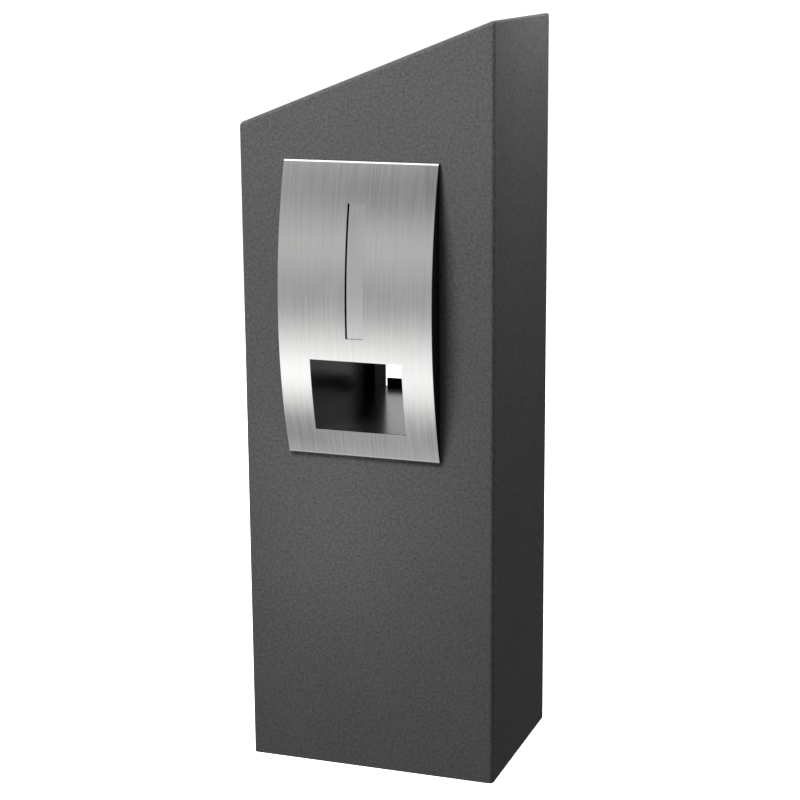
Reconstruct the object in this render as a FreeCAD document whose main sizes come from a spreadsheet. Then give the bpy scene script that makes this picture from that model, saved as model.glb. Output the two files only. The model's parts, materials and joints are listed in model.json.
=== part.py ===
import FreeCAD
import Part
import Sketcher
import os
import re

# Pillar letterbox. A hollow cast pillar with a sloping top carries a folded steel letterbox that
# passes through it from front to back. Millimetres, +Z up, -Y is the street side. The origin is
# on the ground, at the centre of the four anchor holes.

doc = FreeCAD.newDocument("PillarLetterbox")
sheet = doc.addObject("Spreadsheet::Sheet", "Sizes")

SIZES = {
    # cast pillar
    "shell_width": 465, "shell_depth": 340, "height_high": 1350, "height_low": 1170,
    "shell_wall": 12, "shell_edge": 7,
    # ground angles and their bolts into the pillar's side walls
    "angle_gauge": 5, "angle_foot": 60, "angle_rise": 60, "angle_length": 220,
    "anchor_hole": 12, "anchor_inset": 35, "anchor_spacing": 150,
    "base_bolt": 8, "base_bolt_level": 38, "base_bolt_reach": 8, "base_bolt_clearance": 1,
    "base_bolt_head": 13, "base_bolt_head_height": 5.3, "base_washer_gauge": 1.6,
    "base_washer_width": 18, "washer_clearance": 0.4, "wall_insert": 12, "wall_insert_depth": 9,
    "wall_insert_floor": 0.5,
    # folded letterbox
    "box_centre": -4, "box_width": 240, "box_top": 1080, "floor_level": 638, "shelf_level": 788,
    "box_gauge": 1.5, "box_clearance": 3, "box_skirt": 12, "flange": 14, "side_flange": 12,
    "gasket_gauge": 1.5, "gasket_inset": 2, "shelf_drop": 10, "shelf_gap": 2,
    "tray_width": 162, "tray_lip": 17,
    "rivet": 3.2, "rivet_head": 6, "rivet_head_top": 3.6, "rivet_head_rise": 1, "rivet_inset": 40,
    # bowed stainless front
    "fascia_margin": 21, "fascia_height": 524, "fascia_level": 850, "fascia_bulge": 41.5,
    "fascia_standoff": 7, "fascia_gauge": 1.5, "fascia_hem_gap": 1, "fascia_bend": 3,
    "fascia_reveal": 1, "paper_width": 169, "paper_height": 130,
    "frame_gauge": 2, "frame_return": 12, "frame_end_gap": 2,
    "stud": 4, "stud_length": 12, "stud_inset": 9, "stud_pitch": 200, "stud_clearance": 0.3,
    "nut_width": 7, "nut_height": 3.2, "nut_clearance": 0.05,
    "front_screw": 4.4, "front_screw_head": 9, "front_screw_head_top": 6.3, "front_screw_rise": 2.4,
    "front_screw_length": 15, "front_screw_clearance": 0.6, "front_screw_socket": 2.7,
    "front_screw_socket_seat": 0.8, "front_screw_inset": 8, "front_screw_pitch": 180,
    "wall_plug": 7, "wall_plug_depth": 10.5,
    # slot and its sprung flap
    "slot_width": 33, "slot_height": 232, "slot_bottom": 808.5, "flap_overlap": 4, "flap_gap": 0.8,
    "flap_slit": 2.5, "flap_gauge": 1.5, "flap_arm": 8, "pin_clear": 7, "flap_pin": 3,
    "pin_clearance": 0.05,
    "knuckle": 8, "knuckle_length": 20, "knuckle_pitch": 170, "flap_web": 1.5,
    "bracket_gauge": 2, "bracket_gap": 2, "bracket_foot": 12, "bracket_half_width": 7,
    "clip_width": 7, "clip_gauge": 0.8, "spring_wire": 1.2, "spring_coil": 6.4,
    "spring_turns": 6.5, "spring_pitch": 1.4, "spring_gap": 0.6, "spring_play": 0.05,
    # rear frame
    "rear_margin": 30, "rear_bottom": 598, "rear_top": 1108, "rear_gauge": 2, "rear_corner": 8,
    "rear_screw": 5, "rear_screw_head": 9.5, "rear_screw_head_top": 7.2, "rear_screw_rise": 2.8,
    "rear_screw_clearance": 0.5, "rear_screw_socket": 3, "rear_screw_socket_seat": 1,
    "rear_screw_low": 700, "rear_screw_mid": 900, "rear_screw_high": 1068,
    "rivet_nut": 7, "rivet_nut_length": 10, "rivet_nut_head": 9, "rivet_nut_bulge": 1.8,
    # door
    "door_jamb": 25, "door_opening_bottom": 800, "door_opening_top": 1060, "door_lap": 10,
    "door_gauge": 1.5, "door_depth": 9, "door_gap": 0.5, "door_corner": 4,
    "seal_width": 6, "seal_inset": 2, "seal_relief": 0.2,
    "hinge_offset": 7, "hinge_barrel": 8, "hinge_pin": 4, "hinge_gauge": 1.5, "hinge_leaf": 20,
    "hinge_end_knuckle": 12, "hinge_mid_knuckle": 16, "hinge_gap": 0.3, "hinge_inset": 46,
    "hinge_pin_head": 6, "hinge_pin_head_top": 4.2, "hinge_pin_head_rise": 1.2,
    "hinge_axis_rise": 5, "hinge_rivet_reach": 13, "hinge_rivet_spread": 12.2, "cheek_gap": 0.5,
    # cam lock
    "lock_inset": 20, "lock_barrel": 19, "lock_hole_clearance": 0.4, "lock_bezel": 23,
    "lock_bezel_top": 19.8, "lock_bezel_rise": 2, "lock_length": 15,
    "lock_level": 930, "lock_nut_width": 24, "lock_nut_height": 4, "lock_plug": 12,
    "lock_plug_clearance": 0.08, "lock_plug_rise": 0.6, "cam_gauge": 2, "cam_length": 32,
    "cam_width": 14, "cam_screw": 4, "cam_screw_reach": 7.5, "cam_thread_depth": 9,
    "cam_screw_head": 8, "cam_screw_head_top": 6, "cam_screw_rise": 3, "keyway_width": 1.2,
    "keyway_length": 6.5, "keyway_depth": 4,
    # how far a drill runs past each end of a knuckle or clip
    "overrun": 1,
}

# Places and lengths that follow from the sizes above.
PLACES = {
    "front_face": "-shell_depth / 2",
    "rear_face": "shell_depth / 2",
    "slope": "(height_high - height_low) / shell_width",
    "top_wall": "shell_wall * sqrt(1 + slope ^ 2)",
    "inner_side": "shell_width / 2 - shell_wall",
    "box_half": "box_width / 2",
    "box_inner": "box_half - box_gauge",
    "fascia_width": "box_width + 2 * fascia_margin",
    "rear_width": "box_width + 2 * rear_margin",
    "door_opening": "box_width - 2 * door_jamb",
    "rivet_pitch": "shell_depth / 2 - rivet_inset",
    "box_front": "front_face - gasket_gauge - box_gauge",
    "box_rear": "rear_face + gasket_gauge",
    "floor_top": "floor_level - box_gauge",
    "floor_under": "floor_level - 2 * box_gauge",
    "box_bottom": "floor_under - box_skirt",
    "window_half": "box_half + box_clearance",
    "window_bottom": "box_bottom - box_clearance",
    "window_top": "box_top + box_clearance",
    "arc_radius": "((fascia_height / 2) ^ 2 + fascia_bulge ^ 2) / (2 * fascia_bulge)",
    "arc_back": "front_face - fascia_standoff + arc_radius - fascia_bulge",
    "inner_radius": "arc_radius - fascia_gauge",
    "fascia_nose": "front_face - fascia_standoff - fascia_bulge",
    "frame_half": "fascia_width / 2 - fascia_reveal",
    "frame_half_height": "fascia_height / 2 - fascia_gauge - frame_end_gap",
    "slot_middle": "slot_bottom + slot_height / 2",
    "flap_radius": "inner_radius - flap_gap",
    "flap_half_height": "slot_height / 2 + flap_overlap",
    "slot_right": "box_centre + slot_width / 2",
    "bracket_seat": "flap_half_height + bracket_gap",
    "pin_depth": "pin_clear + inner_radius - sqrt(inner_radius ^ 2 - bracket_seat ^ 2)",
    "pin_x": "slot_right + flap_overlap + flap_arm / 2",
    "pin_y": "arc_back - inner_radius + pin_depth",
    "rear_outer": "box_rear + rear_gauge",
    "rear_screw_x": "box_inner - side_flange / 2 + box_gauge / 2",
    "door_half": "door_opening / 2 + door_lap",
    "door_bottom": "door_opening_bottom - door_lap",
    "door_top": "door_opening_top + door_lap",
    "door_inner": "rear_outer + door_gap",
    "door_outer": "door_inner + door_depth",
    "hinge_x": "box_centre + door_half + hinge_offset",
    "hinge_y": "rear_outer + hinge_axis_rise",
    "hinge_half": "hinge_mid_knuckle / 2 + hinge_gap + hinge_end_knuckle",
    "lock_x": "box_centre - door_opening / 2 + lock_inset",
    "lock_end": "door_outer - lock_length",
    "cam_y": "lock_end - cam_gauge",
}

NODES = {}
CLOSE = 0.01  # two places nearer than this are the same place
START_TURN = 90  # any angle but zero keeps the axis until an expression sets the real one


def full(text):
    """An expression that FreeCAD can read, from one written in the names above."""
    def put(match):
        word = match.group(0)
        if word in PLACES:
            return "(" + full(PLACES[word]) + ")"
        return "Sizes." + word if word in SIZES else word
    return re.sub(r"[a-z][a-z_]*", put, str(text))


def value(text):
    found = sheet.evalExpression(full(text))
    return float(getattr(found, "Value", found))


def bind(item, **texts):
    """Ties properties to sizes. Base_x stands for Placement.Base.x and so on."""
    paths = {"Base_x": "Placement.Base.x", "Base_y": "Placement.Base.y",
             "Base_z": "Placement.Base.z", "Turn": "Placement.Rotation.Angle"}
    for name, text in texts.items():
        item.setExpression(paths.get(name, name), full(text))
    return item


def block(across, along, high):
    """A box from three (low, high) pairs, in X, Y and Z."""
    item = doc.addObject("Part::Box", "block")
    (x, x_far), (y, y_far), (z, z_far) = across, along, high
    bind(item, Base_x=x, Base_y=y, Base_z=z)
    return bind(item, Length=f"({x_far}) - ({x})", Width=f"({y_far}) - ({y})",
                Height=f"({z_far}) - ({z})")


def about(centre, half):
    return (f"{centre} - ({half})", f"{centre} + ({half})")


def point_along(item, start, axis):
    """Stands a Z-built primitive at a start point and turns it to lie along an axis."""
    turn = FreeCAD.Rotation(FreeCAD.Vector(0, 0, 1), FreeCAD.Vector(*axis))
    item.Placement = FreeCAD.Placement(FreeCAD.Vector(), turn)
    return bind(item, Base_x=start[0], Base_y=start[1], Base_z=start[2])


def rod(diameter, length, start, axis=(0, 0, 1)):
    item = doc.addObject("Part::Cylinder", "rod")
    bind(item, Radius=f"({diameter}) / 2", Height=length)
    return point_along(item, start, axis)


def taper(wide, narrow, length, start, axis=(0, 0, 1)):
    item = doc.addObject("Part::Cone", "taper")
    bind(item, Radius1=f"({wide}) / 2", Radius2=f"({narrow}) / 2", Height=length)
    return point_along(item, start, axis)


def hexagon(flats, length, start, axis=(0, 0, 1)):
    item = doc.addObject("Part::Prism", "hexagon")
    item.Polygon = 6
    bind(item, Circumradius=f"({flats}) / sqrt(3)", Height=length)
    return point_along(item, start, axis)


def fuse(*pieces):
    item = doc.addObject("Part::MultiFuse", "fused")
    item.Shapes = list(pieces)
    item.Refine = True
    return item


def cut(base, *tools):
    item = doc.addObject("Part::Cut", "trimmed")
    item.Base = base
    item.Tool = tools[0] if len(tools) == 1 else fuse(*tools)
    item.Refine = True
    return item


def common(first, second):
    item = doc.addObject("Part::Common", "shared")
    item.Base = first
    item.Tool = second
    return item


def group(pieces):
    item = doc.addObject("Part::Compound", "group")
    item.Links = list(pieces)
    return item


def node(name, item):
    item.Label = name
    NODES[name] = item
    return item


def shape_of(item):
    doc.recompute()
    return item.Shape


# PartDesign helpers

def new_body(name):
    return node(name, doc.addObject("PartDesign::Body", name + "_body"))


def sketch_on(body, plane, level="0"):
    sketch = body.newObject("Sketcher::SketchObject", "sketch")
    support = [o for o in body.Origin.OriginFeatures if o.Role == plane][0]
    sketch.AttachmentSupport = [(support, "")]
    sketch.MapMode = "FlatFace"
    sketch.setExpression("AttachmentOffset.Base.z", full(level))
    return sketch


def place_point(sketch, geometry, end, across, up):
    """Fixes one end or centre of a sketch element at a pair of size expressions."""
    for kind, text in (("DistanceX", across), ("DistanceY", up)):
        made = sketch.addConstraint(Sketcher.Constraint(kind, geometry, end, value(text)))
        sketch.setExpression(f"Constraints[{made}]", full(text))


def polygon(sketch, corners):
    first = sketch.GeometryCount
    spots = [FreeCAD.Vector(value(u), value(v), 0) for u, v in corners]
    count = len(spots)
    for i in range(count):
        sketch.addGeometry(Part.LineSegment(spots[i], spots[(i + 1) % count]))
    for i in range(count):
        link = first + (i + 1) % count
        sketch.addConstraint(Sketcher.Constraint("Coincident", first + i, 2, link, 1))
    for i, (u, v) in enumerate(corners):
        place_point(sketch, first + i, 1, u, v)
    return sketch


def rectangle(sketch, across, up):
    (a, b), (c, d) = across, up
    return polygon(sketch, [(a, c), (b, c), (b, d), (a, d)])


def circles(sketch, centres, diameter):
    for u, v in centres:
        spot = FreeCAD.Vector(value(u), value(v), 0)
        up = FreeCAD.Vector(0, 0, 1)
        made = sketch.addGeometry(Part.Circle(spot, up, value(diameter) / 2))
        size = sketch.addConstraint(Sketcher.Constraint("Diameter", made, value(diameter)))
        sketch.setExpression(f"Constraints[{size}]", full(diameter))
        place_point(sketch, made, 3, u, v)
    return sketch


def pad(body, sketch, length, side="One side", backwards=False):
    item = body.newObject("PartDesign::Pad", "pad")
    item.Profile = sketch
    item.SideType = side
    item.Reversed = backwards
    bind(item, Length=length)
    doc.recompute()
    return item


def pocket(body, sketch, length=None, side="One side"):
    """Cuts a sketch out of a body. Stops if it removes nothing."""
    before = body.Shape.Volume
    item = body.newObject("PartDesign::Pocket", "pocket")
    item.Profile = sketch
    item.SideType = side
    if length is None:
        item.Type = "ThroughAll"
    else:
        bind(item, Length=length)
    doc.recompute()
    if item.Shape.Volume > before - CLOSE:
        raise RuntimeError(f"the pocket in {body.Label} cuts nothing")
    return item


def round_edges(body, base, radius, wanted):
    """Fillets the edges of a feature that the wanted test picks."""
    item = body.newObject("PartDesign::Fillet", "rounded")
    names = [f"Edge{i + 1}" for i, e in enumerate(base.Shape.Edges) if wanted(e)]
    item.Base = (base, names)
    bind(item, Radius=radius)
    doc.recompute()
    return item


def runs_along(edge, axis):
    """True for a straight edge along an axis."""
    ends = [v.Point for v in edge.Vertexes]
    if len(ends) != 2:
        return False
    step = (ends[1] - ends[0]).normalize()
    return abs(step.dot(FreeCAD.Vector(*axis))) > 0.999


# Repeated places

def wall_bolt_places():
    return [(hand, f"{end} * anchor_spacing / 2") for hand in (-1, 1) for end in (-1, 1)]


def rivet_places():
    """(hand, y, z) of each rivet that joins a cross panel to a side panel."""
    levels = ("box_top - side_flange / 2 - box_gauge",
              "shelf_level + side_flange / 2",
              "floor_under - side_flange / 2")
    return [(hand, f"{step} * rivet_pitch", level)
            for hand in (-1, 1) for level in levels for step in (-1, 0, 1)]


def front_screw_places():
    middle = "(box_top + floor_under) / 2"
    return [(f"box_centre + {hand} * (box_half + front_screw_inset)",
             f"{middle} + {step} * front_screw_pitch")
            for hand in (-1, 1) for step in (-1, 0, 1)]


def stud_places():
    """(x, drop from the bow's middle) of each stud behind the fascia."""
    return [(f"box_centre + {hand} * (frame_half - stud_inset)", f"{step} * stud_pitch")
            for hand in (-1, 1) for step in (-1, 0, 1)]


def rear_screw_places():
    return [(f"box_centre + {hand} * rear_screw_x", level)
            for hand in (-1, 1)
            for level in ("rear_screw_low", "rear_screw_mid", "rear_screw_high")]


# Pillar and base

def make_pillar():
    body = new_body("pillar_shell")
    half = "shell_width / 2"
    outer = polygon(sketch_on(body, "XZ_Plane"), [
        (f"-{half}", "0"), (half, "0"), (half, "height_high"), (f"-{half}", "height_low")])
    solid = pad(body, outer, "shell_depth", "Symmetric")
    round_edges(body, solid, "shell_edge", lambda edge: edge.BoundBox.ZMax > CLOSE)
    inner = polygon(sketch_on(body, "XZ_Plane"), [
        ("-inner_side", "-shell_wall"), ("inner_side", "-shell_wall"),
        ("inner_side", "height_high - slope * shell_wall - top_wall"),
        ("-inner_side", "height_low + slope * shell_wall - top_wall")])
    pocket(body, inner, "shell_depth - 2 * shell_wall", "Symmetric")
    window = rectangle(sketch_on(body, "XZ_Plane"), about("box_centre", "window_half"),
                       ("window_bottom", "window_top"))
    pocket(body, window, None, "Symmetric")
    inserts = circles(sketch_on(body, "YZ_Plane"),
                      [("-anchor_spacing / 2", "base_bolt_level"),
                       ("anchor_spacing / 2", "base_bolt_level")], "wall_insert")
    pocket(body, inserts, "2 * (inner_side + wall_insert_depth)", "Symmetric")
    plugs = circles(sketch_on(body, "XZ_Plane", "shell_depth / 2"), front_screw_places(),
                    "wall_plug")
    pocket(body, plugs, "wall_plug_depth")


def make_base_angle(name, hand):
    """Hot-rolled angle bolted inside one side wall, with two holes for ground anchors."""
    body = new_body(name)
    wall, heel = f"{hand} * inner_side", f"{hand} * (inner_side - angle_gauge)"
    toe = f"{hand} * (inner_side - angle_foot)"
    section = polygon(sketch_on(body, "XZ_Plane"), [
        (wall, "0"), (wall, "angle_rise"), (heel, "angle_rise"), (heel, "angle_gauge"),
        (toe, "angle_gauge"), (toe, "0")])
    bar = pad(body, section, "angle_length", "Symmetric")
    edge_x = value(heel)
    round_edges(body, bar, "angle_gauge",
                lambda edge: runs_along(edge, (0, 1, 0))
                and abs(edge.BoundBox.XMin - edge_x) < CLOSE
                and abs(edge.BoundBox.ZMin - value("angle_gauge")) < CLOSE)
    holes = circles(sketch_on(body, "XY_Plane"),
                    [(f"{hand} * (inner_side - anchor_inset)", f"{end} * anchor_spacing / 2")
                     for end in (-1, 1)], "anchor_hole")
    pocket(body, holes, None, "Symmetric")
    bolts = circles(sketch_on(body, "YZ_Plane"),
                    [(f"{end} * anchor_spacing / 2", "base_bolt_level") for end in (-1, 1)],
                    "base_bolt + base_bolt_clearance")
    pocket(body, bolts, None, "Symmetric")


def make_base_fasteners():
    bolts, washers, inserts = [], [], []
    for hand, y in wall_bolt_places():
        out = (hand, 0, 0)
        leg = f"{hand} * (inner_side - angle_gauge)"
        head = f"{hand} * (inner_side - angle_gauge - base_washer_gauge)"
        shank = rod("base_bolt", "base_washer_gauge + angle_gauge + base_bolt_reach",
                    (head, y, "base_bolt_level"), out)
        cap = hexagon("base_bolt_head", "base_bolt_head_height", (head, y, "base_bolt_level"),
                      (-hand, 0, 0))
        bolts.append(fuse(shank, cap))
        ring = rod("base_washer_width", "base_washer_gauge", (leg, y, "base_bolt_level"),
                   (-hand, 0, 0))
        bore = rod("base_bolt + washer_clearance", "3 * base_washer_gauge",
                   (f"{leg} + {hand} * base_washer_gauge", y, "base_bolt_level"), (-hand, 0, 0))
        washers.append(cut(ring, bore))
        start = (f"{hand} * inner_side", y, "base_bolt_level")
        sleeve = rod("wall_insert", "wall_insert_depth", start, out)
        thread = rod("base_bolt", "wall_insert_depth - wall_insert_floor", start, out)
        inserts.append(cut(sleeve, thread))
    node("base_bolts", group(bolts))
    node("base_washers", group(washers))
    node("wall_inserts", group(inserts))


# Folded letterbox

def rivet_hole(hand, y, z):
    start = f"box_centre + {hand} * (box_half + box_gauge)"
    return rod("rivet", "4 * box_gauge", (start, y, z), (-hand, 0, 0))


def make_box_side(name, hand):
    """Side panel: flange turned out at the front, web, flange turned in at the rear."""
    body = new_body(name)

    def x(offset):
        return f"box_centre + {hand} * ({offset})"
    section = polygon(sketch_on(body, "XY_Plane", "box_bottom"), [
        (x("box_half + flange"), "box_front"), (x("box_inner"), "box_front"),
        (x("box_inner"), "box_rear - box_gauge"),
        (x("box_inner - side_flange"), "box_rear - box_gauge"),
        (x("box_inner - side_flange"), "box_rear"), (x("box_half"), "box_rear"),
        (x("box_half"), "box_front + box_gauge"),
        (x("box_half + flange"), "box_front + box_gauge")])
    web = pad(body, section, "box_top - box_bottom")
    outer, rear = value(x("box_half")), value("box_rear")
    inner, front = value(x("box_inner")), value("box_front")
    round_edges(body, web, "box_gauge", lambda edge: runs_along(edge, (0, 0, 1)) and (
        abs(edge.BoundBox.XMin - outer) < CLOSE and abs(edge.BoundBox.YMin - rear) < CLOSE
        or abs(edge.BoundBox.XMin - inner) < CLOSE and abs(edge.BoundBox.YMin - front) < CLOSE))
    rivets = circles(sketch_on(body, "YZ_Plane", x("box_half + box_gauge")),
                     [(y, z) for side, y, z in rivet_places() if side == hand], "rivet")
    pocket(body, rivets, "6 * box_gauge", "Symmetric")
    screws = circles(sketch_on(body, "XZ_Plane", "-box_rear"),
                     [p for p in rear_screw_places() if f"{hand} *" in p[0]], "rivet_nut")
    pocket(body, screws, "6 * box_gauge", "Symmetric")
    front_holes = circles(sketch_on(body, "XZ_Plane", "-box_front"),
                          [p for p in front_screw_places() if f"{hand} *" in p[0]],
                          "front_screw + front_screw_clearance")
    pocket(body, front_holes, "6 * box_gauge", "Symmetric")


def cross_panel(deck, front, rear, flange_low, flange_high, extras=()):
    """A flat deck between the side panels, with a riveted flange along each side."""
    pieces = [block(about("box_centre", "box_inner"), (front, rear), deck)]
    for hand in (-1, 1):
        inside = f"box_centre + {hand} * box_inner"
        edges = (inside, f"{inside} - {hand} * box_gauge")
        low, high = edges if hand < 0 else edges[::-1]
        run = ("-rivet_pitch - flange", "rivet_pitch + flange")
        pieces.append(block((low, high), run, (flange_low, flange_high)))
    return fuse(*pieces, *extras)


def rivet_holes_at(level_part):
    return [rivet_hole(hand, y, z) for hand, y, z in rivet_places() if level_part in z]


def make_box_top():
    wide = about("box_centre", "box_inner")
    up = block(wide, ("box_front", "box_front + box_gauge"),
               ("box_top - box_gauge", "box_top + flange"))
    down = block(wide, ("box_rear - box_gauge", "box_rear"),
                 ("box_top - side_flange", "box_top"))
    notch = [block(edge, ("box_rear - 2 * box_gauge", "box_rear + box_gauge"),
                   ("box_top - 2 * side_flange", "box_top + box_gauge"))
             for edge in ((wide[0], f"{wide[0]} + side_flange"),
                          (f"{wide[1]} - side_flange", wide[1]))]
    lid = cross_panel(("box_top - box_gauge", "box_top"), "box_front", "box_rear - box_gauge",
                      "box_top - side_flange - box_gauge", "box_top - box_gauge",
                      (up, cut(down, *notch)))
    node("box_top", cut(lid, *rivet_holes_at("box_top")))


def bow_depth(level):
    """Y of the fascia's inner face at a height."""
    return f"arc_back - sqrt(inner_radius ^ 2 - ({level} - fascia_level) ^ 2)"


def make_shelf_and_floor():
    wide = about("box_centre", "box_inner")
    drop = block(about("box_centre", "box_inner - side_flange"),
                 ("box_rear - 2 * box_gauge", "box_rear - box_gauge"),
                 ("shelf_level - shelf_drop", "shelf_level"))
    shelf = cross_panel(("shelf_level - box_gauge", "shelf_level"),
                        f"{bow_depth('shelf_level')} + shelf_gap", "box_rear - box_gauge",
                        "shelf_level", "shelf_level + side_flange", (drop,))
    node("mail_shelf", cut(shelf, *rivet_holes_at("shelf_level")))
    floor = cross_panel(("floor_under", "floor_top"),
                        f"{bow_depth('floor_under')} + shelf_gap", "box_rear - box_gauge",
                        "floor_under - side_flange", "floor_under")
    node("newspaper_floor", cut(floor, *rivet_holes_at("floor_under")))
    across = about("box_centre", "tray_width / 2")
    sole = block(across, (f"{bow_depth('floor_top')} + shelf_gap", "box_rear - box_gauge"),
                 ("floor_top", "floor_level"))
    lip = block(across, ("box_rear - 2 * box_gauge", "box_rear - box_gauge"),
                ("floor_top", "floor_level + tray_lip"))
    node("newspaper_tray", fuse(sole, lip))


def rivet_cap(seat, axis):
    return taper("rivet_head", "rivet_head_top", "rivet_head_rise", seat, axis)


def make_box_rivets():
    rivets = []
    for hand, y, z in rivet_places():
        out = (hand, 0, 0)
        inside = (f"box_centre + {hand} * (box_inner - box_gauge)", y, z)
        outside = (f"box_centre + {hand} * box_half", y, z)
        shank = rod("rivet", "2 * box_gauge", inside, out)
        heads = [rivet_cap(inside, (-hand, 0, 0)), rivet_cap(outside, out)]
        rivets.append(fuse(shank, *heads))
    node("box_rivets", group(rivets))


def make_gaskets():
    inner = block(about("box_centre", "window_half"), ("2 * front_face", "2 * rear_face"),
                  ("window_bottom", "window_top"))
    front = block(about("box_centre", "box_half + flange"),
                  ("front_face - gasket_gauge", "front_face"),
                  ("box_bottom - flange", "box_top + flange"))
    holes = [rod("wall_plug", "3 * gasket_gauge", (x, "front_face + gasket_gauge", z), (0, -1, 0))
             for x, z in front_screw_places()]
    node("front_gasket", cut(front, inner, *holes))
    rear = block(about("box_centre", "rear_width / 2 - gasket_inset"),
                 ("rear_face", "rear_face + gasket_gauge"),
                 ("rear_bottom + gasket_inset", "rear_top - gasket_inset"))
    opening = block(about("box_centre", "window_half"), ("0", "2 * rear_face"),
                    ("window_bottom", "window_top"))
    node("rear_gasket", cut(rear, opening))


# Bowed front

def bow(radius):
    """The cylinder that the bowed front is part of, at one radius."""
    return rod(f"2 * ({radius})", "2 * fascia_width",
               ("box_centre - fascia_width", "arc_back", "fascia_level"), (1, 0, 0))


def make_fascia():
    deep = ("2 * fascia_nose", "front_face - fascia_hem_gap")
    blank = block(about("box_centre", "fascia_width / 2"), deep,
                  about("fascia_level", "fascia_height / 2"))
    skin = cut(common(bow("arc_radius"), blank), bow("inner_radius"))
    hems = []
    for end in (-1, 1):
        tip = f"fascia_level + {end} * fascia_height / 2"
        inner = f"{tip} - {end} * fascia_gauge"
        low, high = (tip, inner) if end < 0 else (inner, tip)
        hems.append(block(about("box_centre", "fascia_width / 2"),
                          ("front_face - fascia_standoff", "front_face - fascia_hem_gap"),
                          (low, high)))
    formed = fuse(skin, *hems)
    shape = shape_of(formed)
    bend_y = value("front_face - fascia_standoff")
    bent = doc.addObject("Part::Fillet", "bent")
    bent.Base = formed
    chosen = [i + 1 for i, e in enumerate(shape.Edges)
              if runs_along(e, (1, 0, 0)) and abs(e.BoundBox.YMin - bend_y) < CLOSE
              and abs(abs(e.BoundBox.ZMin - value("fascia_level"))
                      - value("fascia_height / 2")) < CLOSE]
    bend = value("fascia_bend")
    bent.Edges = [(i, bend, bend) for i in chosen]
    slot = block(about("box_centre", "slot_width / 2"), deep,
                 ("slot_bottom", "slot_bottom + slot_height"))
    paper = block(about("box_centre", "paper_width / 2"), deep,
                  ("floor_level", "floor_level + paper_height"))
    node("fascia_plate", cut(bent, slot, paper))


def radial(item, x, drop, radius):
    """Points a Z-built primitive square to the bow, inwards, from a radius."""
    turn = FreeCAD.Rotation(FreeCAD.Vector(-1, 0, 0), START_TURN)
    item.Placement = FreeCAD.Placement(FreeCAD.Vector(), turn)
    lean = f"asin(({drop}) / inner_radius)"
    return bind(item, Turn=f"90 deg + {lean}", Base_x=x,
                Base_y=f"arc_back - ({radius}) * cos({lean})",
                Base_z=f"fascia_level + ({radius}) * sin({lean})")


def radial_rod(diameter, length, x, drop, radius):
    item = doc.addObject("Part::Cylinder", "stud")
    bind(item, Radius=f"({diameter}) / 2", Height=length)
    return radial(item, x, drop, radius)


def make_fascia_frame():
    """Curved-sided tray behind the fascia. Its cheeks close the gap to the pillar."""
    def chamber(radius, shrink, back):
        return common(bow(radius), block(
            about("box_centre", f"frame_half - {shrink}"), ("2 * fascia_nose", back),
            about("fascia_level", f"frame_half_height - {shrink}")))
    solid = chamber("inner_radius", "0", "box_front")
    hollow = chamber("inner_radius - frame_gauge", "frame_gauge", "box_front - frame_gauge")
    front = block(about("box_centre", "frame_half - frame_gauge - frame_return"),
                  ("2 * fascia_nose", "box_front - frame_gauge"),
                  about("fascia_level", "frame_half_height - frame_gauge - frame_return"))
    back = block(about("box_centre", "box_inner"), ("2 * fascia_nose", "0"),
                 ("floor_under", "box_top"))
    studs = [radial_rod("stud + 2 * stud_clearance", "3 * frame_gauge", x, drop,
                        "inner_radius + frame_gauge") for x, drop in stud_places()]
    screws = [rod("front_screw + front_screw_clearance", "3 * frame_gauge",
                  (x, "box_front + frame_gauge", z), (0, -1, 0))
              for x, z in front_screw_places()]
    node("fascia_frame", cut(solid, hollow, front, back, *studs, *screws))


def make_fascia_fasteners():
    studs, nuts = [], []
    for x, drop in stud_places():
        studs.append(radial_rod("stud", "stud_length", x, drop, "inner_radius"))
        seat = "inner_radius - frame_gauge"
        blank = doc.addObject("Part::Prism", "nut")
        blank.Polygon = 6
        bind(blank, Circumradius="nut_width / sqrt(3)", Height="nut_height")
        radial(blank, x, drop, seat)
        bore = radial_rod("stud + 2 * nut_clearance", "3 * nut_height", x, drop,
                          f"{seat} + nut_height")
        nuts.append(cut(blank, bore))
    node("fascia_studs", group(studs))
    node("fascia_nuts", group(nuts))
    screws, plugs = [], []
    for x, z in front_screw_places():
        seat = (x, "box_front - frame_gauge", z)
        shank = rod("front_screw", "front_screw_length", seat, (0, 1, 0))
        head = taper("front_screw_head", "front_screw_head_top", "front_screw_rise", seat,
                     (0, -1, 0))
        drive = hexagon("front_screw_socket", "front_screw_rise",
                        (x, "box_front - frame_gauge - front_screw_socket_seat", z), (0, -1, 0))
        screws.append(cut(fuse(shank, head), drive))
        mouth = (x, "front_face", z)
        plugs.append(cut(rod("wall_plug", "wall_plug_depth", mouth, (0, 1, 0)),
                         rod("front_screw", "front_screw_length + frame_gauge", seat, (0, 1, 0))))
    node("front_screws", group(screws))
    node("wall_plugs", group(plugs))


# Sprung slot flap. It is laid out about the middle of the bow, then swung up round the bow's
# own axis until it lies behind the slot.

def swing(piece):
    item = group([piece])
    lift = "asin((slot_middle - fascia_level) / inner_radius)"
    turn = FreeCAD.Rotation(FreeCAD.Vector(-1, 0, 0), START_TURN)
    item.Placement = FreeCAD.Placement(FreeCAD.Vector(), turn)
    across = f"arc_back - (arc_back * cos({lift}) + fascia_level * sin({lift}))"
    up = f"fascia_level - (fascia_level * cos({lift}) - arc_back * sin({lift}))"
    return bind(item, Turn=lift, Base_y=across, Base_z=up)


def pin_rod(diameter, low, high):
    return rod(diameter, f"({high}) - ({low})", ("pin_x", "pin_y", f"fascia_level + {low}"))


def bow_strip(outer, gauge, across, along, high):
    return cut(common(bow(outer), block(across, along, high)), bow(f"{outer} - {gauge}"))


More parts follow.
